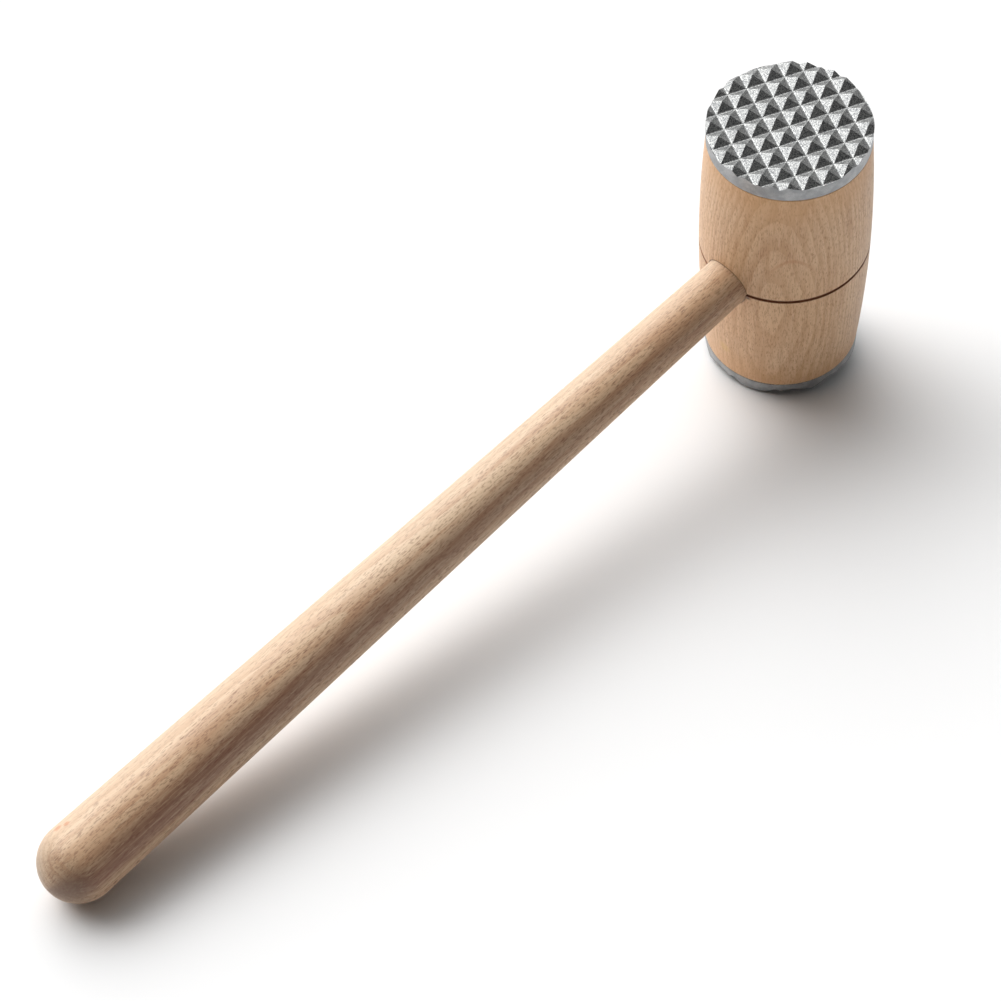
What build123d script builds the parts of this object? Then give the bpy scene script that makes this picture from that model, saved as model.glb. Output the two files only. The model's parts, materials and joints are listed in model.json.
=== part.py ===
"""Meat mallet: a turned beech head on a tapered beech handle, with a cast aluminium cap of
pyramid teeth on each end of the head. Millimetres.

The mallet is drawn with its head upright on the Z axis: the coarse tooth tips lie on z = 0,
the fine tooth tips on z = head_height, and the handle leaves the head along +X. At the end it
is laid down as it rests on a table, on one row of coarse teeth and on the ball of its handle.
"""
from build123d import *
import math
import os

# Overall sizes
overall_length = 328.0         # far side of the head to the end of the handle
head_height = 105.0            # tooth tips to tooth tips

# Barrel of the head
barrel_diameter = 53.2         # at its middle
cap_diameter = 49.5            # at its two ends, flush with the caps
groove_width = 1.0             # burnt groove round the middle
groove_depth = 0.7

# Handle
neck_diameter = 15.7           # where it enters the head, and its tenon
butt_diameter = 22.9           # the ball that ends it
bore_depth = 38.0              # from the side of the barrel to the bottom of the blind bore
bore_side_offset = 1.35        # the bore runs this far to one side of the barrel's axis
glue_gap = 0.1                 # round the tenon
bore_end_gap = 1.0             # glue space past the end of the tenon
tenon_chamfer = 1.0

# Caps
fine_cap_height = 6.35         # wood to tooth tips
coarse_cap_height = 6.75
fine_pitch = 6.1
fine_tooth_depth = 1.8
fine_turn = -26.4              # the teeth's rows, turned from the handle's direction
coarse_pitch = 14.3
coarse_tooth_depth = 4.2
coarse_turn = 20.0
tip_flat = 0.3                 # each tooth's blunted tip is a square of this side

# Spigot that holds a cap in the end grain
spigot_diameter = 14.0
spigot_length = 16.0
spigot_gap = 0.05              # round the spigot
spigot_end_gap = 1.0           # past its end
spigot_chamfer = 1.0
glue_ring_count = 3            # rings turned in the spigot to hold the glue
glue_ring_width = 1.6
glue_ring_depth = 0.8
cutter_margin = 1.0            # how far a cutter stands past what it cuts

# Sizes that follow
barrel_radius = barrel_diameter / 2
cap_radius = cap_diameter / 2
neck_radius = neck_diameter / 2
butt_radius = butt_diameter / 2
spigot_radius = spigot_diameter / 2
barrel_bottom = coarse_cap_height
barrel_top = head_height - fine_cap_height
barrel_height = barrel_top - barrel_bottom
barrel_middle = (barrel_bottom + barrel_top) / 2
handle_end = overall_length - barrel_radius
butt_centre_x = handle_end - butt_radius
bore_bottom = barrel_radius - bore_depth


def turned(outline, axis):
    """Turn a closed outline round an axis into a solid."""
    return revolve(make_face(outline), axis=axis)


def make_barrel():
    """Turned head: bowed sides, a groove round the middle, a side bore and two end holes."""
    side = ThreePointArc(
        (cap_radius, 0, barrel_bottom),
        (barrel_radius, 0, barrel_middle),
        (cap_radius, 0, barrel_top),
    )
    ends_and_axis = Polyline(
        (cap_radius, 0, barrel_top),
        (0, 0, barrel_top),
        (0, 0, barrel_bottom),
        (cap_radius, 0, barrel_bottom),
    )
    barrel = turned(side + ends_and_axis, Axis.Z)

    half_width = groove_width / 2
    floor_radius = barrel_radius - groove_depth
    mouth_radius = barrel_radius + cutter_margin
    groove_floor = ThreePointArc(
        (floor_radius + half_width, 0, barrel_middle - half_width),
        (floor_radius, 0, barrel_middle),
        (floor_radius + half_width, 0, barrel_middle + half_width),
    )
    groove_mouth = Polyline(
        (floor_radius + half_width, 0, barrel_middle + half_width),
        (mouth_radius, 0, barrel_middle + half_width),
        (mouth_radius, 0, barrel_middle - half_width),
        (floor_radius + half_width, 0, barrel_middle - half_width),
    )
    barrel -= turned(groove_floor + groove_mouth, Axis.Z)

    bore_length = bore_depth + cutter_margin
    bore_start = Pos(bore_bottom, -bore_side_offset, barrel_middle)
    aim_along_x = Rot(0, 90, 0)
    on_its_end = (Align.CENTER, Align.CENTER, Align.MIN)
    barrel -= bore_start * aim_along_x * Cylinder(neck_radius + glue_gap, bore_length, align=on_its_end)

    hole_radius = spigot_radius + spigot_gap
    hole_depth = spigot_length + spigot_end_gap
    for hole_middle in (barrel_bottom + hole_depth / 2, barrel_top - hole_depth / 2):
        barrel -= Pos(0, 0, hole_middle) * Cylinder(hole_radius, hole_depth)
    return barrel


def make_handle():
    """Turned handle: a parallel tenon, a straight taper and a ball end, turned round X."""
    tenon_end = bore_bottom + bore_end_gap
    taper_length = butt_centre_x - barrel_radius
    reach = math.hypot(taper_length, neck_radius)
    taper_angle = math.asin(butt_radius / reach) - math.atan2(neck_radius, taper_length)
    ball_start = (
        butt_centre_x - butt_radius * math.sin(taper_angle),
        butt_radius * math.cos(taper_angle),
    )
    ball_side = (
        butt_centre_x + butt_radius * math.cos(math.pi / 4),
        butt_radius * math.sin(math.pi / 4),
    )
    straight = Polyline(
        (handle_end, 0),
        (tenon_end, 0),
        (tenon_end, neck_radius - tenon_chamfer),
        (tenon_end + tenon_chamfer, neck_radius),
        (barrel_radius, neck_radius),
        ball_start,
    )
    ball = ThreePointArc(ball_start, ball_side, (handle_end, 0))
    handle = turned(straight + ball, Axis.X)
    return Pos(0, -bore_side_offset, barrel_middle) * handle


def tooth_cutters(pitch, depth, turn, first_groove, tip_height):
    """V-shaped bars in two crossing directions, which leave square pyramids between them."""
    half_mouth = (pitch - tip_flat) / 2 * (depth + cutter_margin) / depth
    vee = make_face(
        Polyline(
            (0, 0, tip_height - depth),
            (half_mouth, 0, tip_height + cutter_margin),
            (-half_mouth, 0, tip_height + cutter_margin),
            (0, 0, tip_height - depth),
        )
    )
    reach = cap_radius + cutter_margin
    bar = extrude(vee, amount=reach, both=True)
    rows = math.ceil(reach / pitch)
    places = [first_groove + row * pitch for row in range(-rows - 1, rows + 1)]
    return [
        Rot(0, 0, turn + quarter) * Pos(place, 0, 0) * bar
        for quarter in (0, 90)
        for place in places
        if abs(place) < cap_radius + half_mouth
    ]


def make_cap(height, pitch, depth, turn, first_groove):
    """Cast cap: a disc with pyramid teeth on top, and a ringed spigot below z = 0."""
    cap = Pos(0, 0, height / 2) * Cylinder(cap_radius, height)
    cap -= tooth_cutters(pitch, depth, turn, first_groove, height)

    spigot = Pos(0, 0, -spigot_length / 2) * Cylinder(spigot_radius, spigot_length)
    spigot = chamfer(spigot.edges().sort_by(Axis.Z)[0], spigot_chamfer)
    ring_spacing = spigot_length / (glue_ring_count + 1)
    ring_core = spigot_radius - glue_ring_depth
    ring = Cylinder(spigot_radius + cutter_margin, glue_ring_width)
    ring -= Cylinder(ring_core, glue_ring_width)
    for number in range(1, glue_ring_count + 1):
        spigot -= Pos(0, 0, -number * ring_spacing) * ring
    return cap + spigot


def resting_turn():
    """The axis and the angle that lay the upright mallet down on a table.

    It leans towards the side that a row of coarse teeth faces, until a row and the ball of the
    handle both touch. The outermost whole row carries it, or the teeth that the rim cuts through
    past that row, whichever stops it sooner: the one that needs the greater lean.
    """
    turn = math.radians(coarse_turn)
    ahead = Vector(math.cos(turn), math.sin(turn), 0)
    along_row = Vector(-math.sin(turn), math.cos(turn), 0)
    ball = Vector(butt_centre_x, -bore_side_offset, barrel_middle)

    def lean_on(distance, height):
        run = ball.dot(ahead) - distance
        rise = ball.Z - height
        return math.atan2(rise, run) - math.asin(butt_radius / math.hypot(run, rise))

    tip_radius = tip_flat / 2
    whole_rows = math.floor((cap_radius - tip_radius) / coarse_pitch)
    past_rim = (whole_rows + 1) * coarse_pitch - tip_radius - cap_radius
    flank_slope = coarse_tooth_depth / (coarse_pitch / 2 - tip_radius)
    lean = max(
        lean_on(whole_rows * coarse_pitch + tip_radius, 0),
        lean_on(cap_radius, past_rim * flank_slope),
    )
    return Axis((0, 0, 0), along_row), math.degrees(lean)


upright = {
    "head_barrel": make_barrel(),
    "handle": make_handle(),
    "fine_tooth_cap": Pos(0, 0, barrel_top)
    * make_cap(fine_cap_height, fine_pitch, fine_tooth_depth, fine_turn, 0),
    # turned over, so its teeth's own turn is the other way round
    "coarse_tooth_cap": Pos(0, 0, barrel_bottom)
    * Rot(180, 0, 0)
    * make_cap(coarse_cap_height, coarse_pitch, coarse_tooth_depth, -coarse_turn, coarse_pitch / 2),
}

lean_axis, lean_angle = resting_turn()
resting = {name: piece.rotate(lean_axis, lean_angle) for name, piece in upright.items()}
boxes = [piece.bounding_box() for piece in resting.values()]
to_origin = Pos(
    -(min(box.min.X for box in boxes) + max(box.max.X for box in boxes)) / 2,
    -(min(box.min.Y for box in boxes) + max(box.max.Y for box in boxes)) / 2,
    -min(box.min.Z for box in boxes),
)

os.makedirs("parts", exist_ok=True)
for name, piece in resting.items():
    export_step(to_origin * piece, f"parts/{name}.step")
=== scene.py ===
"""The looks of the meat mallet: a beech head and handle, and two cast aluminium tooth caps.

Shapes are drawn in millimetres on the mallet standing upright, with the head's axis on Z, the
coarse tooth tips on z = 0 and the handle along +X. Each finished mesh is then laid down where
the frame has it, in metres.
"""
import json
import math
import bmesh
import bpy
from collections import namedtuple
from mathutils import Matrix, Vector


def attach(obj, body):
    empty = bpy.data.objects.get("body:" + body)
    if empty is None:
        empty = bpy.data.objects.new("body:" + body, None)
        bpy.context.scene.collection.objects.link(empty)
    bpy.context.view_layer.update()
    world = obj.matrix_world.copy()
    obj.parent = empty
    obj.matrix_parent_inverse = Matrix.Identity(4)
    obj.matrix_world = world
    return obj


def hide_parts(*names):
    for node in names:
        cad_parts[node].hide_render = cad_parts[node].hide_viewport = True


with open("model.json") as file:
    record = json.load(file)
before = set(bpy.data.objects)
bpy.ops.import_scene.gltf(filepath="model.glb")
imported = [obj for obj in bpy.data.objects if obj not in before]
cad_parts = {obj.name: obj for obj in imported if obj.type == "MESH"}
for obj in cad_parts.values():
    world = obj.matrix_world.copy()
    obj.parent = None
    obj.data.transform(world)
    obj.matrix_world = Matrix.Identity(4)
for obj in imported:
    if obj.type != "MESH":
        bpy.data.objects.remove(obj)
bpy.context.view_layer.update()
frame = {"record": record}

# Sizes, in millimetres
OVERALL_LENGTH = 328.0
HEAD_HEIGHT = 105.0
BARREL_RADIUS = 26.6
CAP_RADIUS = 24.75
FINE_CAP_HEIGHT = 6.35
COARSE_CAP_HEIGHT = 6.75
GROOVE_WIDTH = 1.0
GROOVE_DEPTH = 0.7
NECK_RADIUS = 7.85
BUTT_RADIUS = 11.45
BORE_DEPTH = 38.0
BORE_SIDE_OFFSET = 1.35
GLUE_GAP = 0.1
BORE_END_GAP = 1.0
TENON_CHAMFER = 1.0
ARRIS = 0.18                  # eased edge where wood and metal meet
SPIGOT_RADIUS = 7.0
SPIGOT_LENGTH = 16.0
SPIGOT_GAP = 0.05
SPIGOT_END_GAP = 1.0
GLUE_RINGS = 3
GLUE_RING_WIDTH = 1.6
GLUE_RING_DEPTH = 0.8
FINE_PITCH = 6.1
FINE_DEPTH = 1.8
FINE_TURN = -26.4             # degrees from the handle
FINE_ROWS = 10                # even, so grooves cross on the head's axis
COARSE_PITCH = 14.3
COARSE_DEPTH = 4.2
COARSE_TURN = 20.0
COARSE_ROWS = 5               # odd, so a tooth stands on the head's axis
MARGIN = 1.0                  # how far a cutter stands past what it cuts
BLOCK_DEPTH = 30.0            # of the block that carries a field of teeth, past any spigot
WELD = 0.002                  # points nearer than this are one point
LIP_EASE = 0.1                # eased edges of the groove's mouth

# How finely things are turned
HEAD_SIDES = 192
HANDLE_SIDES = 96
BORE_SIDES = 96
BOW_STEPS = 22
GROOVE_STEPS = 8
TAPER_STEPS = 40
BALL_STEPS = 28
WOOD_CREASE = 30.0            # degrees; a sharper edge is shaded as an edge
METAL_CREASE = 5.0

# Light: azimuth and elevation in degrees, tightness, and brightness at the middle
GLOWS = (
    (291.5, 47.0, 24.0, 7.3),
    (247.5, 42.0, 9.0, 4.9),
    (165.0, 42.0, 9.0, 0.45),
)
DIM_ROOM = 0.04

BARREL_BOTTOM = COARSE_CAP_HEIGHT
BARREL_TOP = HEAD_HEIGHT - FINE_CAP_HEIGHT
BARREL_MIDDLE = (BARREL_BOTTOM + BARREL_TOP) / 2
HANDLE_END = OVERALL_LENGTH - BARREL_RADIUS
BUTT_CENTRE = HANDLE_END - BUTT_RADIUS
BORE_BOTTOM = BARREL_RADIUS - BORE_DEPTH

# How the mallet lies, in metres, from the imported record's mounts
mounts = {mount["name"]: mount for mount in frame["record"]["mounts"]}
lie_origin = Vector(mounts["coarse_face"]["pos_m"])
lie_z = -Vector(mounts["coarse_face"]["axis"]).normalized()
lie_x = Vector(mounts["grip"]["axis"])
lie_x = (lie_x - lie_x.dot(lie_z) * lie_z).normalized()
lie_y = lie_z.cross(lie_x)
LIE_TURN = Matrix((lie_x, lie_y, lie_z)).transposed()
LIE = Matrix.Translation(lie_origin) @ LIE_TURN.to_4x4() @ Matrix.Scale(0.001, 4)
UPRIGHT = LIE.inverted()


# ---------------------------------------------------------------- node trees written as sums


class Wire:
    """One output of a node. A sum on it adds Math nodes to its tree."""

    def __init__(self, tree, socket):
        self.tree = tree
        self.socket = socket

    def math(self, operation, *values):
        return self.tree.add("ShaderNodeMath", {"operation": operation}, dict(enumerate(values)))[0]

    def __add__(self, other):
        return self.math("ADD", self, other)

    __radd__ = __add__

    def __sub__(self, other):
        return self.math("SUBTRACT", self, other)

    def __rsub__(self, other):
        return self.math("SUBTRACT", other, self)

    def __mul__(self, other):
        return self.math("MULTIPLY", self, other)

    __rmul__ = __mul__

    def __truediv__(self, other):
        return self.math("DIVIDE", self, other)

    def __rtruediv__(self, other):
        return self.math("DIVIDE", other, self)

    def __abs__(self):
        return self.math("ABSOLUTE", self)

    def exponent(self):
        return self.math("EXPONENT", self)

    def root(self):
        return self.math("SQRT", self)

    def fraction(self):
        return self.math("FRACT", self)

    def sine(self):
        return self.math("SINE", self)

    def cosine(self):
        return self.math("COSINE", self)

    def rounded(self):
        return self.math("ROUND", self)

    def angle_with(self, other):
        return self.math("ARCTAN2", self, other)

    def over(self, limit):
        return self.math("GREATER_THAN", self, limit)

    def rise(self, low, high):
        """0 at low and 1 at high, smoothly, with low above high for a fall."""
        settings = {"interpolation_type": "SMOOTHSTEP"}
        return self.tree.add("ShaderNodeMapRange", settings, {0: self, 1: low, 2: high})[0]


class Outputs:
    """A node's outputs, by name or number."""

    def __init__(self, tree, node):
        self.tree = tree
        self.node = node

    def __getitem__(self, key):
        return Wire(self.tree, self.node.outputs[key])


class Tree:
    """A node tree that nodes are added to."""

    def __init__(self, nodes):
        self.nodes = nodes

    def add(self, kind, settings=None, sockets=None):
        """Add a node: its settings first, then a value or a Wire for each named socket."""
        node = self.nodes.nodes.new(kind)
        for name, value in (settings or {}).items():
            setattr(node, name, value)
        for name, value in (sockets or {}).items():
            if isinstance(value, Wire):
                self.nodes.links.new(value.socket, node.inputs[name])
            else:
                node.inputs[name].default_value = value
        return Outputs(self, node)

    def mix(self, share, low, high):
        """The colour low where share is 0 and high where it is 1."""
        low, high = (c if isinstance(c, Wire) else (*c, 1.0) for c in (low, high))
        return self.add("ShaderNodeMix", {"data_type": "RGBA"}, {0: share, 6: low, 7: high})[2]

    def noise(self, place, scale, detail, roughness):
        sockets = {"Vector": place, "Scale": scale, "Detail": detail, "Roughness": roughness}
        return self.add("ShaderNodeTexNoise", {}, sockets)["Fac"]

    def bump(self, height, strength):
        """A normal that height raises and lowers by a tenth of a millimetre."""
        sockets = {"Strength": strength, "Distance": 0.0001, "Height": height}
        return self.add("ShaderNodeBump", {}, sockets)["Normal"]

    def vector(self, x, y, z):
        return self.add("ShaderNodeCombineXYZ", {}, {0: x, 1: y, 2: z})[0]

    def parts(self, vector):
        split = self.add("ShaderNodeSeparateXYZ", {}, {0: vector})
        return split[0], split[1], split[2]


def new_material(name):
    """A material with an empty tree."""
    material = bpy.data.materials.new(name)
    material.use_nodes = True
    material.node_tree.nodes.clear()
    return material, Tree(material.node_tree)


def finish_material(tree, **sockets):
    """Join a Principled shader to the output. Socket names have _ for a space."""
    named = {name.replace("_", " "): value for name, value in sockets.items()}
    shader = tree.add("ShaderNodeBsdfPrincipled", {}, named)
    tree.add("ShaderNodeOutputMaterial", {}, {"Surface": shader["BSDF"]})


def upright_place(tree):
    """The place on the upright mallet, in millimetres."""
    sockets = {
        "Vector": tree.add("ShaderNodeTexCoord")["Object"],
        "Location": UPRIGHT.to_translation(),
        "Rotation": UPRIGHT.to_euler(),
        "Scale": UPRIGHT.to_scale(),
    }
    return tree.add("ShaderNodeMapping", {"vector_type": "POINT"}, sockets)["Vector"]


# ---------------------------------------------------------------- materials


# sway is how far the rings wander, late the dark wood of each ring, fleck the ray flecks
Grain = namedtuple("Grain", "sway late fleck streaks fibre pores")


def beech_grain(tree, along, across, side, ring_spacing, fleck_size):
    """The grain of beech, from a place in the log.

    along runs with the fibres; across and side are measured from the pith. fleck_size is how
    wide, deep and tall the cells are that hold one ray fleck each.
    """
    log = tree.vector(across * 0.035, side * 0.035, along * 0.009)
    sway = tree.noise(log, 1.0, 3.0, 0.55) - 0.5
    radius = (across * across + side * side).root()
    turn = side.angle_with(across)
    ring = (radius / ring_spacing + sway * 3.2).fraction()
    late = ring.rise(0.25, 0.93) * ring.rise(1.0, 0.95)

    wide, deep, tall = fleck_size
    arc_length = turn * radius

    def drawn_out(fine, stretched, detail, roughness):
        """Noise that is fine across the fibres and stretched along them."""
        place = tree.vector(arc_length * fine, radius * fine, along * stretched)
        return tree.noise(place, 1.0, detail, roughness)

    cell = tree.vector(arc_length / wide, radius / deep, along / tall)
    rays = tree.add("ShaderNodeTexVoronoi", {}, {"Vector": cell, "Scale": 1.0})
    chance, size, _ = tree.parts(rays["Color"])
    fleck = (rays["Distance"] * (0.7 + size)).rise(0.38, 0.16) * chance.rise(0.2, 0.9)

    return Grain(
        sway=sway,
        late=late,
        fleck=fleck,
        streaks=drawn_out(0.42, 0.014, 3.0, 0.6),
        fibre=drawn_out(1.5, 0.08, 3.0, 0.65),
        pores=drawn_out(2.6, 0.5, 2.0, 0.6),
    )


def beech_colour(tree, grain, pale, warm, late_tone, fleck_tone):
    """Pale and warm wood in turn, then its darker rings, streaks, fibre, pores and flecks."""
    colour = tree.mix((grain.sway + 0.5).rise(0.35, 0.65), pale, warm)
    colour = tree.mix(grain.late * 0.5, colour, late_tone)
    colour = tree.mix(grain.streaks.rise(0.46, 0.72) * 0.6, colour, late_tone)
    colour = tree.mix(grain.fibre.rise(0.5, 0.74) * 0.5, colour, late_tone)
    colour = tree.mix(grain.fibre.rise(0.46, 0.3) * 0.5, colour, pale)
    colour = tree.mix(grain.pores.rise(0.5, 0.66) * 0.5, colour, fleck_tone)
    return tree.mix(grain.fleck * 0.6, colour, fleck_tone)


def beech_surface(tree, colour, grain):
    """Sanded bare beech: the flecks and pores lie a little below the surface."""
    height = grain.fibre * 0.5 - grain.pores * 0.6 - grain.fleck * 0.6
    finish_material(
        tree,
        Base_Color=colour,
        Roughness=0.46 + grain.fibre * 0.16 + grain.fleck * 0.1,
        Normal=tree.bump(height, 0.45),
        Specular_IOR_Level=0.6,
        Sheen_Weight=0.12,
        Sheen_Roughness=0.4,
    )


def blotch(tree, place, middle, reach):
    """1 at the middle of a small mark, 0 past its reach."""
    apart = tree.vector(*(here - there for here, there in zip(place, middle)))
    distance = tree.add("ShaderNodeVectorMath", {"operation": "LENGTH"}, {0: apart})["Value"]
    return distance.rise(reach, reach * 0.3)


def head_beech():
    """Beech of the head: fibres upright, the pith well outside it on the far side."""
    material, tree = new_material("head_beech")
    x, y, z = tree.parts(upright_place(tree))
    pith_distance = 62.0
    pith_turn = math.radians(35.0)
    pith_tilt = 0.019
    lean = (z - BARREL_MIDDLE) * pith_tilt
    across = x * math.cos(pith_turn) + y * math.sin(pith_turn) + pith_distance - lean
    side = y * math.cos(pith_turn) - x * math.sin(pith_turn)
    grain = beech_grain(tree, z, across, side, ring_spacing=1.0, fleck_size=(0.42, 3.0, 1.9))
    colour = beech_colour(
        tree,
        grain,
        pale=(0.80, 0.55, 0.34),
        warm=(0.75, 0.485, 0.275),
        late_tone=(0.56, 0.30, 0.145),
        fleck_tone=(0.38, 0.155, 0.06),
    )
    level = abs(z - BARREL_MIDDLE)
    colour = head_stains(tree, colour, grain, (x, y, z), level, side)
    colour = groove_and_hairline(tree, colour, grain, (x, y, z), level)
    beech_surface(tree, colour, grain)
    return material


def head_stains(tree, colour, grain, place, level, side):
    """Orange towards both ends, a reddish arch above the groove, and a spot of resin."""
    x, _, z = place
    orange = (0.72, 0.385, 0.16)
    ends = (level + grain.sway * 16).rise(30.0, 46.0)
    colour = tree.mix(ends * 0.45, colour, orange)

    reddish = (0.50, 0.20, 0.085)
    arch_middle = 4.2
    arch_top = 72.5
    arch_bend = 0.13
    off_arch = side - arch_middle
    arch = z + off_arch * off_arch * arch_bend + grain.sway * 4 - arch_top
    stain = abs(arch).rise(1.3, 0.1) * x.over(0.0) * abs(off_arch).rise(8.5, 3.0)
    colour = tree.mix(stain * 0.45, colour, reddish)

    amber = (0.72, 0.46, 0.14)
    resin = blotch(tree, place, middle=(26.1, -1.9, 18.0), reach=3.2)
    return tree.mix(resin * 0.4, colour, amber)


def groove_and_hairline(tree, colour, grain, place, level):
    """The burnt groove, the hairline of glue round the handle, and a spot of painted shade for a
    small notch where they meet.
    """
    x, y, z = place
    umber = (0.12, 0.05, 0.022)
    scorched = (0.25, 0.095, 0.035)
    notch_shade_tone = (0.10, 0.04, 0.018)
    smoke = grain.fibre * 0.3
    scorch = level.rise(GROOVE_WIDTH * 0.85 + 0.1, GROOVE_WIDTH * 0.5)
    bore_y = y + BORE_SIDE_OFFSET
    bore_z = z - BARREL_MIDDLE
    from_bore = (bore_y * bore_y + bore_z * bore_z).root()
    hairline = from_bore.rise(NECK_RADIUS + 0.55, NECK_RADIUS + 0.2) * x.over(0.0)
    colour = tree.mix(hairline * (0.55 + smoke), colour, umber)
    colour = tree.mix(scorch * (0.8 + smoke), colour, scorched)
    # a dark spot of painted shade where a small notch is
    painted_notch_shade = blotch(tree, place, middle=(25.3, 7.3, 51.5), reach=1.1)
    return tree.mix(painted_notch_shade * 0.8, colour, notch_shade_tone)


def handle_beech():
    """Beech of the handle: fibres along it, end grain on the ball, a painted highlight along its
    top and painted shade along one side and on the ball.
    """
    material, tree = new_material("handle_beech")
    x, y, z = tree.parts(upright_place(tree))
    height = z - BARREL_MIDDLE
    pith_distance = 46.0
    pith_tilt = 0.008
    across = y * 0.35 + height * 0.94 + pith_distance + x * pith_tilt
    side = y * 0.94 - height * 0.35
    grain = beech_grain(tree, x, across, side, ring_spacing=1.9, fleck_size=(0.5, 3.0, 2.6))
    colour = beech_colour(
        tree,
        grain,
        pale=(0.72, 0.528, 0.35),
        warm=(0.69, 0.465, 0.285),
        late_tone=(0.48, 0.25, 0.13),
        fleck_tone=(0.21, 0.078, 0.034),
    )
    around = height.angle_with(y + BORE_SIDE_OFFSET)

    # paler and greyer along the top where the light falls, a painted highlight; and a redder band
    # along one side, partly heartwood and partly painted core shade, darker towards the ball
    painted_highlight_tone = (0.64, 0.53, 0.40)
    heartwood_and_shade = (0.245, 0.088, 0.046)
    core_shade_side = math.radians(34.0)
    # the band is partly redder heartwood and partly painted shade along the side where the core
    # shade falls
    band = abs(around - core_shade_side + grain.sway * 0.5).rise(0.66, 0.12)
    heart_and_shade = band * (0.3 + (x / HANDLE_END).rise(0.1, 1.0) * 0.7)
    heart_and_shade = heart_and_shade * (0.5 + grain.fibre.rise(0.3, 0.6) * 0.5)
    # painted highlight: the lit top is made paler and greyer
    colour = tree.mix(around.rise(1.3, 2.3) * 0.45, colour, painted_highlight_tone)
    colour = tree.mix(heart_and_shade * 0.8, colour, heartwood_and_shade)

    # greyer end grain on the ball, with painted shade darkest on the shaded side of it
    end_grain_and_shade_tone = (0.22, 0.13, 0.08)
    ball_shade_side = math.radians(20.0)
    end = (x - BUTT_CENTRE + grain.sway * 6).rise(0.0, BUTT_RADIUS * 0.8)
    # under is painted shade, darkest on the side of the ball where the core shade falls
    under = abs(around - ball_shade_side).rise(1.3, 0.3)
    colour = tree.mix(end * (0.15 + grain.streaks * 0.3 + under * 0.45), colour, end_grain_and_shade_tone)

    # two small red marks beside the ball
    red = (0.55, 0.19, 0.08)
    for middle, reach in (((289.0, -8.6, 61.5), 1.7), ((286.6, -7.4, 62.3), 1.3)):
        colour = tree.mix(blotch(tree, (x, y, z), middle, reach) * 0.55, colour, red)
    beech_surface(tree, colour, grain)
    return material


def cast_aluminium():
    """Cast aluminium: speckled and grainy on the teeth, smoother and duller on the turned rim."""
    material, tree = new_material("cast_aluminium")
    place = upright_place(tree)
    x, y, z = tree.parts(place)
    radius = (x * x + y * y).root()
    rim = radius.rise(CAP_RADIUS - 0.06, CAP_RADIUS - 0.02)
    grit = tree.noise(place, 3.2, 4.0, 0.65)
    cloud = tree.noise(place, 0.35, 3.0, 0.5)
    turning = tree.noise(tree.vector(x * 0.05, y * 0.05, z * 6.0), 1.0, 3.0, 0.6)
    speck = grit.rise(0.4, 0.62)

    dark_grit, bright_grit = (0.11, 0.113, 0.12), (0.50, 0.505, 0.49)
    dull_rim, clean_rim, rim_speck = (0.34, 0.35, 0.36), (0.48, 0.485, 0.49), (0.26, 0.27, 0.28)
    face = tree.mix(speck, dark_grit, bright_grit)
    band = tree.mix(cloud.rise(0.35, 0.7), dull_rim, clean_rim)
    band = tree.mix(speck * 0.35, band, rim_speck)
    texture = grit * (1 - rim * 0.6) + turning * rim * 0.4
    finish_material(
        tree,
        Base_Color=tree.mix(rim, face, band),
        Metallic=0.85 - rim * 0.15,
        Roughness=0.3 + grit * 0.2 + rim * 0.1,
        Normal=tree.bump(texture, 0.7),
    )
    return material


# ---------------------------------------------------------------- outlines, as (radius, height)


def arc(start, through, end, steps):
    """Points from start to end on the circle through three points, without the start."""
    (ax, ay), (bx, by), (cx, cy) = start, through, end
    twice_area = 2 * (ax * (by - cy) + bx * (cy - ay) + cx * (ay - by))
    a, b, c = ax * ax + ay * ay, bx * bx + by * by, cx * cx + cy * cy
    ox = (a * (by - cy) + b * (cy - ay) + c * (ay - by)) / twice_area
    oy = (a * (cx - bx) + b * (ax - cx) + c * (bx - ax)) / twice_area
    radius = math.hypot(ax - ox, ay - oy)
    first = math.atan2(ay - oy, ax - ox)
    middle = (math.atan2(by - oy, bx - ox) - first + math.pi) % math.tau - math.pi
    sweep = (math.atan2(cy - oy, cx - ox) - first + math.pi) % math.tau - math.pi
    if sweep * middle < 0:
        sweep += math.copysign(math.tau, middle)
    turns = [first + sweep * step / steps for step in range(1, steps + 1)]
    return [(ox + radius * math.cos(turn), oy + radius * math.sin(turn)) for turn in turns]


def barrel_radius_at(height):
    """The bowed side is one arc from end to end."""
    half = BARREL_TOP - BARREL_MIDDLE
    bow = BARREL_RADIUS - CAP_RADIUS
    arc_radius = (half * half + bow * bow) / (2 * bow)
    return BARREL_RADIUS - arc_radius + math.sqrt(arc_radius**2 - (height - BARREL_MIDDLE) ** 2)


def barrel_side(low, high):
    """Points up the bowed side between two heights."""
    heights = [low + (high - low) * step / BOW_STEPS for step in range(BOW_STEPS + 1)]
    return [(barrel_radius_at(height), height) for height in heights]


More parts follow.
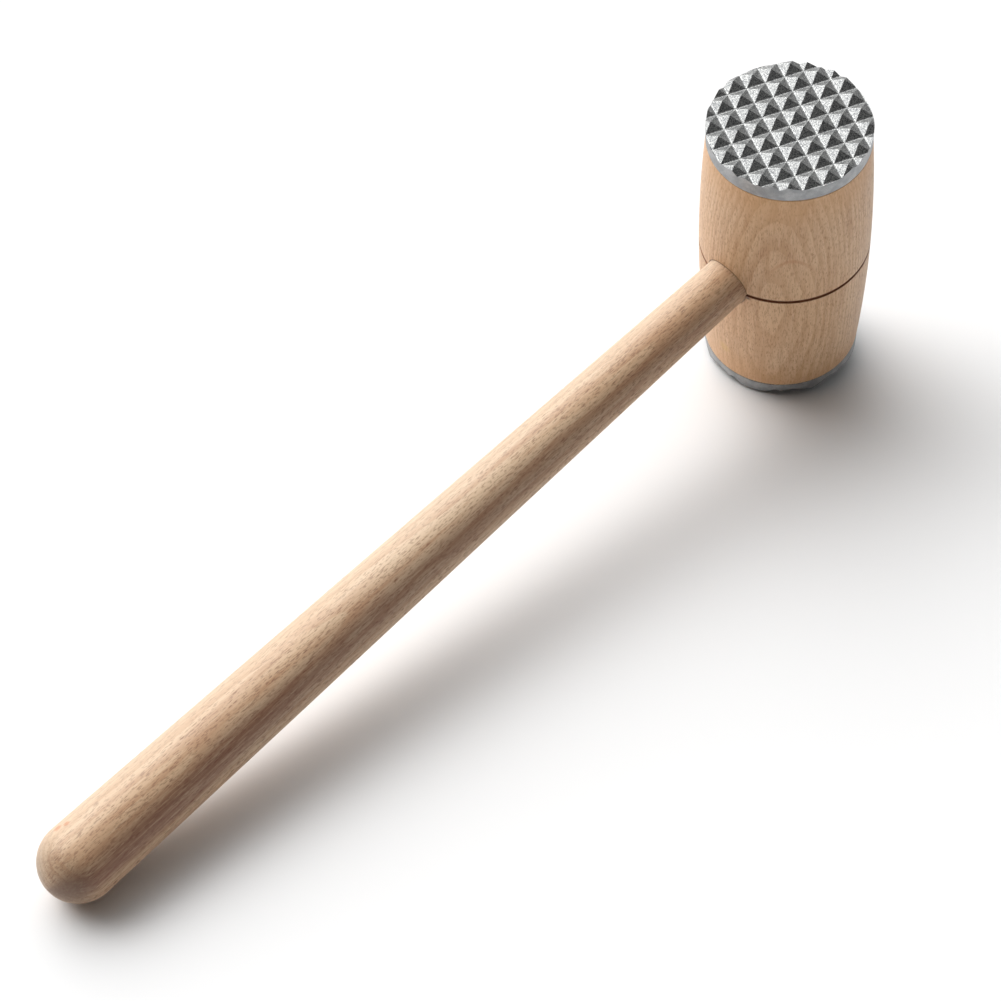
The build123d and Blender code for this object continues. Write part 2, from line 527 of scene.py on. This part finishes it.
def barrel_outline():
    """Bottom hole, bottom face, bowed side with its groove, top face, top hole."""
    hole_radius = SPIGOT_RADIUS + SPIGOT_GAP
    hole_depth = SPIGOT_LENGTH + SPIGOT_END_GAP
    half = GROOVE_WIDTH / 2
    lip = half + LIP_EASE
    mouth = BARREL_RADIUS - LIP_EASE
    floor = BARREL_RADIUS - GROOVE_DEPTH
    low = BARREL_MIDDLE - half
    high = BARREL_MIDDLE + half
    return [
        (0, BARREL_BOTTOM + hole_depth),
        (hole_radius, BARREL_BOTTOM + hole_depth),
        (hole_radius, BARREL_BOTTOM),
        (CAP_RADIUS - ARRIS, BARREL_BOTTOM),
        *barrel_side(BARREL_BOTTOM + ARRIS, BARREL_MIDDLE - lip),
        (mouth, low),
        (floor + half, low),
        *arc((floor + half, low), (floor, BARREL_MIDDLE), (floor + half, high), GROOVE_STEPS),
        (mouth, high),
        *barrel_side(BARREL_MIDDLE + lip, BARREL_TOP - ARRIS),
        (CAP_RADIUS - ARRIS, BARREL_TOP),
        (hole_radius, BARREL_TOP),
        (hole_radius, BARREL_TOP - hole_depth),
        (0, BARREL_TOP - hole_depth),
    ]


def handle_outline():
    """Tenon, straight taper and ball, with the handle's length as the height."""
    tenon_end = BORE_BOTTOM + BORE_END_GAP
    taper_length = BUTT_CENTRE - BARREL_RADIUS
    reach = math.hypot(taper_length, NECK_RADIUS)
    taper = math.asin(BUTT_RADIUS / reach) - math.atan2(NECK_RADIUS, taper_length)
    ball_start = (BUTT_RADIUS * math.cos(taper), BUTT_CENTRE - BUTT_RADIUS * math.sin(taper))
    slant = BUTT_RADIUS * math.sqrt(0.5)
    neck = (NECK_RADIUS, BARREL_RADIUS)
    side = [
        tuple(a + (b - a) * step / TAPER_STEPS for a, b in zip(neck, ball_start))
        for step in range(TAPER_STEPS + 1)
    ]
    return [
        (0, tenon_end),
        (NECK_RADIUS - TENON_CHAMFER, tenon_end),
        (NECK_RADIUS, tenon_end + TENON_CHAMFER),
        *side,
        *arc(ball_start, (slant, BUTT_CENTRE + slant), (0, HANDLE_END), BALL_STEPS),
    ]


def cap_outline(height):
    """Blank of a cap: a ringed spigot below z = 0 and a disc that stands past the tooth tips."""
    ring_core = SPIGOT_RADIUS - GLUE_RING_DEPTH
    rings = []
    for number in range(GLUE_RINGS, 0, -1):
        middle = -number * SPIGOT_LENGTH / (GLUE_RINGS + 1)
        low = middle - GLUE_RING_WIDTH / 2
        high = middle + GLUE_RING_WIDTH / 2
        rings += [(SPIGOT_RADIUS, low), (ring_core, low), (ring_core, high), (SPIGOT_RADIUS, high)]
    return [
        (0, -SPIGOT_LENGTH),
        (SPIGOT_RADIUS - TENON_CHAMFER, -SPIGOT_LENGTH),
        (SPIGOT_RADIUS, -SPIGOT_LENGTH + TENON_CHAMFER),
        *rings,
        (SPIGOT_RADIUS, 0),
        (CAP_RADIUS - ARRIS, 0),
        (CAP_RADIUS, ARRIS),
        (CAP_RADIUS, height + MARGIN),
        (0, height + MARGIN),
    ]


# ---------------------------------------------------------------- geometry trees


def new_geometry_tree(name, inputs):
    """A geometry tree with a Geometry input and the named inputs, each a (name, socket type)."""
    nodes = bpy.data.node_groups.new(name, "GeometryNodeTree")
    nodes.interface.new_socket("Geometry", in_out="INPUT", socket_type="NodeSocketGeometry")
    for label, kind in inputs:
        nodes.interface.new_socket(label, in_out="INPUT", socket_type=kind)
    nodes.interface.new_socket("Geometry", in_out="OUTPUT", socket_type="NodeSocketGeometry")
    tree = Tree(nodes)
    return nodes, tree, tree.add("NodeGroupInput")


def turn_outline(tree, outline, sides):
    """Turn the outline's points, which have the radius as x and the height as z, round Z."""
    count = tree.add("GeometryNodeAttributeDomainSize", {}, {"Geometry": outline})["Point Count"]
    around = sides + 1
    sheet = tree.add("GeometryNodeMeshGrid", {}, {"Vertices X": count, "Vertices Y": around})
    across, along, _ = tree.parts(tree.add("GeometryNodeInputPosition")["Position"])
    index = ((across + 0.5) * (count - 1)).rounded()
    turn = (along + 0.5) * math.tau
    here = tree.add("GeometryNodeInputPosition")["Position"]
    sample = tree.add(
        "GeometryNodeSampleIndex",
        {"data_type": "FLOAT_VECTOR", "domain": "POINT"},
        {"Geometry": outline, "Value": here, "Index": index},
    )["Value"]
    radius, _, height = tree.parts(sample)
    place = tree.vector(radius * turn.cosine(), radius * turn.sine(), height)
    turned = tree.add("GeometryNodeSetPosition", {}, {"Geometry": sheet["Mesh"], "Position": place})
    return weld(tree, turned["Geometry"])


def end_tree(tree, geometry, material):
    """Make the result real, give it its material and hand it out."""
    real = tree.add("GeometryNodeRealizeInstances", {}, {"Geometry": geometry})["Geometry"]
    clad = tree.add("GeometryNodeSetMaterial", {}, {"Geometry": real, "Material": material})
    tree.add("NodeGroupOutput", {}, {"Geometry": clad["Geometry"]})


def boolean(tree, operation, first, second):
    """What is left of two closed solids. Only DIFFERENCE tells the first from the second."""
    result = tree.add("GeometryNodeMeshBoolean", {"operation": operation, "solver": "EXACT"})
    first_socket = "Mesh 1" if operation == "DIFFERENCE" else "Mesh 2"
    tree.nodes.links.new(first.socket, result.node.inputs[first_socket])
    tree.nodes.links.new(second.socket, result.node.inputs["Mesh 2"])
    return result["Mesh"]


def lay_along_x(tree, geometry, place):
    """Turn what stands on Z to lie along X, and move it to its place."""
    sockets = {"Geometry": geometry, "Translation": place, "Rotation": (0, math.pi / 2, 0)}
    return tree.add("GeometryNodeTransform", {}, sockets)["Geometry"]


def weld(tree, geometry):
    """Join the points that lie in one place."""
    sockets = {"Geometry": geometry, "Distance": WELD}
    return tree.add("GeometryNodeMergeByDistance", {}, sockets)["Geometry"]


def barrel_tree():
    """A turned barrel with a blind bore in its side."""
    nodes, tree, given = new_geometry_tree(
        "turned_barrel",
        [
            ("Sides", "NodeSocketInt"),
            ("Bore Radius", "NodeSocketFloat"),
            ("Bore Bottom", "NodeSocketFloat"),
            ("Bore Mouth", "NodeSocketFloat"),
            ("Bore Offset", "NodeSocketFloat"),
            ("Bore Height", "NodeSocketFloat"),
            ("Material", "NodeSocketMaterial"),
        ],
    )
    barrel = turn_outline(tree, given["Geometry"], given["Sides"])
    length = given["Bore Mouth"] - given["Bore Bottom"]
    drill_sockets = {"Vertices": BORE_SIDES, "Radius": given["Bore Radius"], "Depth": length}
    drill = tree.add("GeometryNodeMeshCylinder", {}, drill_sockets)["Mesh"]
    middle = (given["Bore Mouth"] + given["Bore Bottom"]) * 0.5
    place = tree.vector(middle, given["Bore Offset"] * -1.0, given["Bore Height"])
    bored = boolean(tree, "DIFFERENCE", barrel, lay_along_x(tree, drill, place))
    end_tree(tree, bored, given["Material"])
    return nodes


def handle_tree():
    """A turned handle, laid along X at its bore's place."""
    nodes, tree, given = new_geometry_tree(
        "turned_handle",
        [
            ("Sides", "NodeSocketInt"),
            ("Bore Offset", "NodeSocketFloat"),
            ("Bore Height", "NodeSocketFloat"),
            ("Material", "NodeSocketMaterial"),
        ],
    )
    handle = turn_outline(tree, given["Geometry"], given["Sides"])
    place = tree.vector(0.0, given["Bore Offset"] * -1.0, given["Bore Height"])
    end_tree(tree, lay_along_x(tree, handle, place), given["Material"])
    return nodes


def cap_tree():
    """A turned blank, crossed with a block that has a field of teeth for its top."""
    nodes, tree, given = new_geometry_tree(
        "toothed_cap",
        [
            ("Sides", "NodeSocketInt"),
            ("Tooth", "NodeSocketObject"),
            ("Pitch", "NodeSocketFloat"),
            ("Rows", "NodeSocketInt"),
            ("Turn", "NodeSocketFloat"),
            ("Valley Height", "NodeSocketFloat"),
            ("Block Depth", "NodeSocketFloat"),
            ("Material", "NodeSocketMaterial"),
        ],
    )
    blank = turn_outline(tree, given["Geometry"], given["Sides"])
    field = tooth_field(tree, given)
    risen_sockets = {
        "Mesh": field,
        "Offset": tree.vector(0.0, 0.0, 1.0),
        "Offset Scale": given["Block Depth"],
        "Individual": False,
    }
    risen = tree.add("GeometryNodeExtrudeMesh", {"mode": "FACES"}, risen_sockets)["Mesh"]
    under = tree.add("GeometryNodeFlipFaces", {}, {"Mesh": field})["Mesh"]
    joined = tree.add("GeometryNodeJoinGeometry")
    tree.nodes.links.new(risen.socket, joined.node.inputs[0])
    tree.nodes.links.new(under.socket, joined.node.inputs[0])
    cap = boolean(tree, "INTERSECT", blank, weld(tree, joined["Geometry"]))
    end_tree(tree, cap, given["Material"])
    return nodes


def tooth_field(tree, given):
    """A square sheet of teeth in rows, turned, and sunk to where the block's bottom is."""
    rows = given["Rows"]
    reach = (rows - 1) * given["Pitch"]
    grid_sockets = {"Size X": reach, "Size Y": reach, "Vertices X": rows, "Vertices Y": rows}
    places = tree.add("GeometryNodeMeshGrid", {}, grid_sockets)["Mesh"]
    tooth = tree.add("GeometryNodeObjectInfo", {}, {"Object": given["Tooth"]})["Geometry"]
    teeth = tree.add("GeometryNodeInstanceOnPoints", {}, {"Points": places, "Instance": tooth})
    real = tree.add("GeometryNodeRealizeInstances", {}, {"Geometry": teeth["Instances"]})
    sunk_sockets = {
        "Geometry": weld(tree, real["Geometry"]),
        "Translation": tree.vector(0.0, 0.0, given["Valley Height"] - given["Block Depth"]),
        "Rotation": tree.vector(0.0, 0.0, given["Turn"]),
    }
    return tree.add("GeometryNodeTransform", {}, sunk_sockets)["Geometry"]


# ---------------------------------------------------------------- making the pieces


def outline_object(name, outline):
    """An object that holds an outline as points joined by edges."""
    mesh = bpy.data.meshes.new(name)
    points = [(radius, 0, height) for radius, height in outline]
    edges = [(number, number + 1) for number in range(len(points) - 1)]
    mesh.from_pydata(points, edges, [])
    item = bpy.data.objects.new(name, mesh)
    bpy.context.scene.collection.objects.link(item)
    return item


def make_piece(name, outline, nodes, values, node, crease, stand=None):
    """Run a geometry tree on an outline, keep the result as a plain mesh and lay it down.

    stand puts the tree's result where it belongs on the upright mallet.
    """
    item = outline_object(name, outline)
    modifier = item.modifiers.new("shape", "NODES")
    modifier.node_group = nodes
    for socket in nodes.interface.items_tree:
        if socket.in_out == "INPUT" and socket.name in values:
            modifier[socket.identifier] = values[socket.name]
    bpy.context.view_layer.update()
    evaluated = item.evaluated_get(bpy.context.evaluated_depsgraph_get())
    mesh = bpy.data.meshes.new_from_object(evaluated)
    item.modifiers.remove(modifier)
    mesh.transform(LIE @ (stand or Matrix.Identity(4)))
    close_and_face_outward(mesh)
    for face in mesh.polygons:
        face.use_smooth = True
    mesh.set_sharp_from_angle(angle=math.radians(crease))
    item.data = mesh
    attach(item, "root")
    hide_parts(node)


def close_and_face_outward(mesh):
    """Weld the seams of a mesh in metres and turn its faces outwards."""
    work = bmesh.new()
    work.from_mesh(mesh)
    bmesh.ops.remove_doubles(work, verts=work.verts, dist=WELD * 0.001)
    bmesh.ops.recalc_face_normals(work, faces=work.faces)
    work.to_mesh(mesh)
    work.free()


def make_tooth(name, pitch, depth, fillet, tip, ease):
    """One tile of the field: a pyramid with eased ridges in a valley with rounded bottoms.

    fillet is how far the rounding reaches up the flank, tip half the width of the blunt tip,
    and ease how much is taken off a ridge.
    """
    half = pitch / 2
    slope = depth / (half - tip)
    # eight-cornered rings from the valley to the tip: reach from the middle, height, corner cut
    rings_at = [
        (half, 0.0, 0.0),
        (half - fillet * 0.4, fillet * slope * 0.08, ease * 0.4),
        (half - fillet, fillet * slope * 0.47, ease),
        (tip + ease * 0.8, depth - ease * 0.9, ease),
        (tip * 0.62, depth, ease * 0.45),
    ]
    work = bmesh.new()
    rings = []
    for reach, height, cut in rings_at:
        inner = reach - min(cut, reach * 0.6)
        corners = []
        for turn in range(4):
            quarter = Matrix.Rotation(turn * math.pi / 2, 3, "Z")
            corners.append(work.verts.new(quarter @ Vector((reach, -inner, height))))
            corners.append(work.verts.new(quarter @ Vector((reach, inner, height))))
        rings.append(corners)
    for outer, inner in zip(rings, rings[1:]):
        for number in range(8):
            after = (number + 1) % 8
            work.faces.new((outer[number], outer[after], inner[after], inner[number]))
    work.faces.new(rings[-1])
    bmesh.ops.remove_doubles(work, verts=work.verts, dist=WELD)
    mesh = bpy.data.meshes.new(name)
    work.to_mesh(mesh)
    work.free()
    item = bpy.data.objects.new(name, mesh)
    bpy.context.scene.collection.objects.link(item)
    return item


def make_wood():
    """The head's barrel and the handle."""
    barrel_values = {
        "Sides": HEAD_SIDES,
        "Bore Radius": NECK_RADIUS + GLUE_GAP,
        "Bore Bottom": BORE_BOTTOM,
        "Bore Mouth": BARREL_RADIUS + MARGIN,
        "Bore Offset": BORE_SIDE_OFFSET,
        "Bore Height": BARREL_MIDDLE,
        "Material": head_beech(),
    }
    make_piece(
        "beech_head", barrel_outline(), barrel_tree(), barrel_values,
        "head_barrel", WOOD_CREASE,
    )
    handle_values = {
        "Sides": HANDLE_SIDES,
        "Bore Offset": BORE_SIDE_OFFSET,
        "Bore Height": BARREL_MIDDLE,
        "Material": handle_beech(),
    }
    make_piece(
        "beech_handle", handle_outline(), handle_tree(), handle_values,
        "handle", WOOD_CREASE,
    )


def make_cap(name, node, nodes, material, tooth, height, pitch, depth, rows, turn, stand):
    """One toothed cap. Its own z = 0 is where it meets the wood, with the teeth above."""
    values = {
        "Sides": HEAD_SIDES,
        "Tooth": tooth,
        "Pitch": pitch,
        "Rows": rows,
        "Turn": math.radians(turn),
        "Valley Height": height - depth,
        "Block Depth": BLOCK_DEPTH,
        "Material": material,
    }
    make_piece(name, cap_outline(height), nodes, values, node, METAL_CREASE, stand)
    bpy.data.objects.remove(tooth)


def make_metal():
    """The fine and the coarse toothed cap."""
    nodes = cap_tree()
    aluminium = cast_aluminium()
    make_cap(
        "fine_teeth", "fine_tooth_cap", nodes, aluminium,
        make_tooth("fine_tooth", FINE_PITCH, FINE_DEPTH, fillet=0.3, tip=0.15, ease=0.1),
        FINE_CAP_HEIGHT, FINE_PITCH, FINE_DEPTH, FINE_ROWS, FINE_TURN,
        stand=Matrix.Translation((0, 0, BARREL_TOP)),
    )
    # turned over, so its teeth's own turn is the other way round
    make_cap(
        "coarse_teeth", "coarse_tooth_cap", nodes, aluminium,
        make_tooth("coarse_tooth", COARSE_PITCH, COARSE_DEPTH, fillet=0.6, tip=0.15, ease=0.2),
        COARSE_CAP_HEIGHT, COARSE_PITCH, COARSE_DEPTH, COARSE_ROWS, -COARSE_TURN,
        stand=Matrix.Translation((0, 0, BARREL_BOTTOM)) @ Matrix.Rotation(math.pi, 4, "X"),
    )


# ---------------------------------------------------------------- floor, light and camera


def make_floor():
    """A wide sheet of matt white paper."""
    half = 12.0
    mesh = bpy.data.meshes.new("floor")
    corners = [(-half, -half, 0), (half, -half, 0), (half, half, 0), (-half, half, 0)]
    mesh.from_pydata(corners, [], [(0, 1, 2, 3)])
    floor = bpy.data.objects.new("floor", mesh)
    bpy.context.scene.collection.objects.link(floor)
    material, tree = new_material("white_paper")
    finish_material(tree, Base_Color=(0.9, 0.9, 0.9, 1.0), Roughness=0.9, Specular_IOR_Level=0.1)
    mesh.materials.append(material)


def toward(azimuth, elevation):
    """The direction at these angles, in degrees, from +X towards +Y and up from the floor."""
    turn, height = math.radians(azimuth), math.radians(elevation)
    flat = math.cos(height)
    return Vector((flat * math.cos(turn), flat * math.sin(turn), math.sin(height)))


def make_light():
    """A dim studio with three soft glows, each brightest at its middle."""
    world = bpy.data.worlds.new("studio")
    bpy.context.scene.world = world
    world.use_nodes = True
    world.node_tree.nodes.clear()
    tree = Tree(world.node_tree)
    way = tree.add("ShaderNodeTexCoord")["Generated"]
    strength = DIM_ROOM
    for azimuth, elevation, tightness, brightness in GLOWS:
        sockets = {0: way, 1: toward(azimuth, elevation)}
        facing = tree.add("ShaderNodeVectorMath", {"operation": "DOT_PRODUCT"}, sockets)["Value"]
        strength = ((facing - 1) * tightness).exponent() * brightness + strength
    white = (1.0, 1.0, 1.0, 1.0)
    shine = tree.add("ShaderNodeBackground", {}, {"Color": white, "Strength": strength})
    tree.add("ShaderNodeOutputWorld", {}, {"Surface": shine["Background"]})


def make_camera():
    """A long lens that looks down on the mallet from beyond the end of its handle."""
    azimuth = math.radians(134.297)
    elevation = math.radians(48.730)
    roll = math.radians(0.185)
    aim = Vector((-0.007854, -0.000793, 0.030))
    distance = 0.75596
    back = Vector(
        (
            math.sin(azimuth) * math.cos(elevation),
            -math.cos(azimuth) * math.cos(elevation),
            math.sin(elevation),
        )
    )
    data = bpy.data.cameras.new("camera")
    data.lens = 92.121
    data.sensor_width = 36.0
    data.clip_start = 0.01
    data.clip_end = 50.0
    camera = bpy.data.objects.new("camera", data)
    camera.location = aim + back * distance
    look = (-back).to_track_quat("-Z", "Y").to_matrix() @ Matrix.Rotation(roll, 3, "Z")
    camera.rotation_euler = look.to_euler()
    bpy.context.scene.collection.objects.link(camera)
    bpy.context.scene.camera = camera


bpy.context.scene.view_settings.view_transform = "Standard"
make_camera()
make_light()
make_floor()
make_wood()
make_metal()
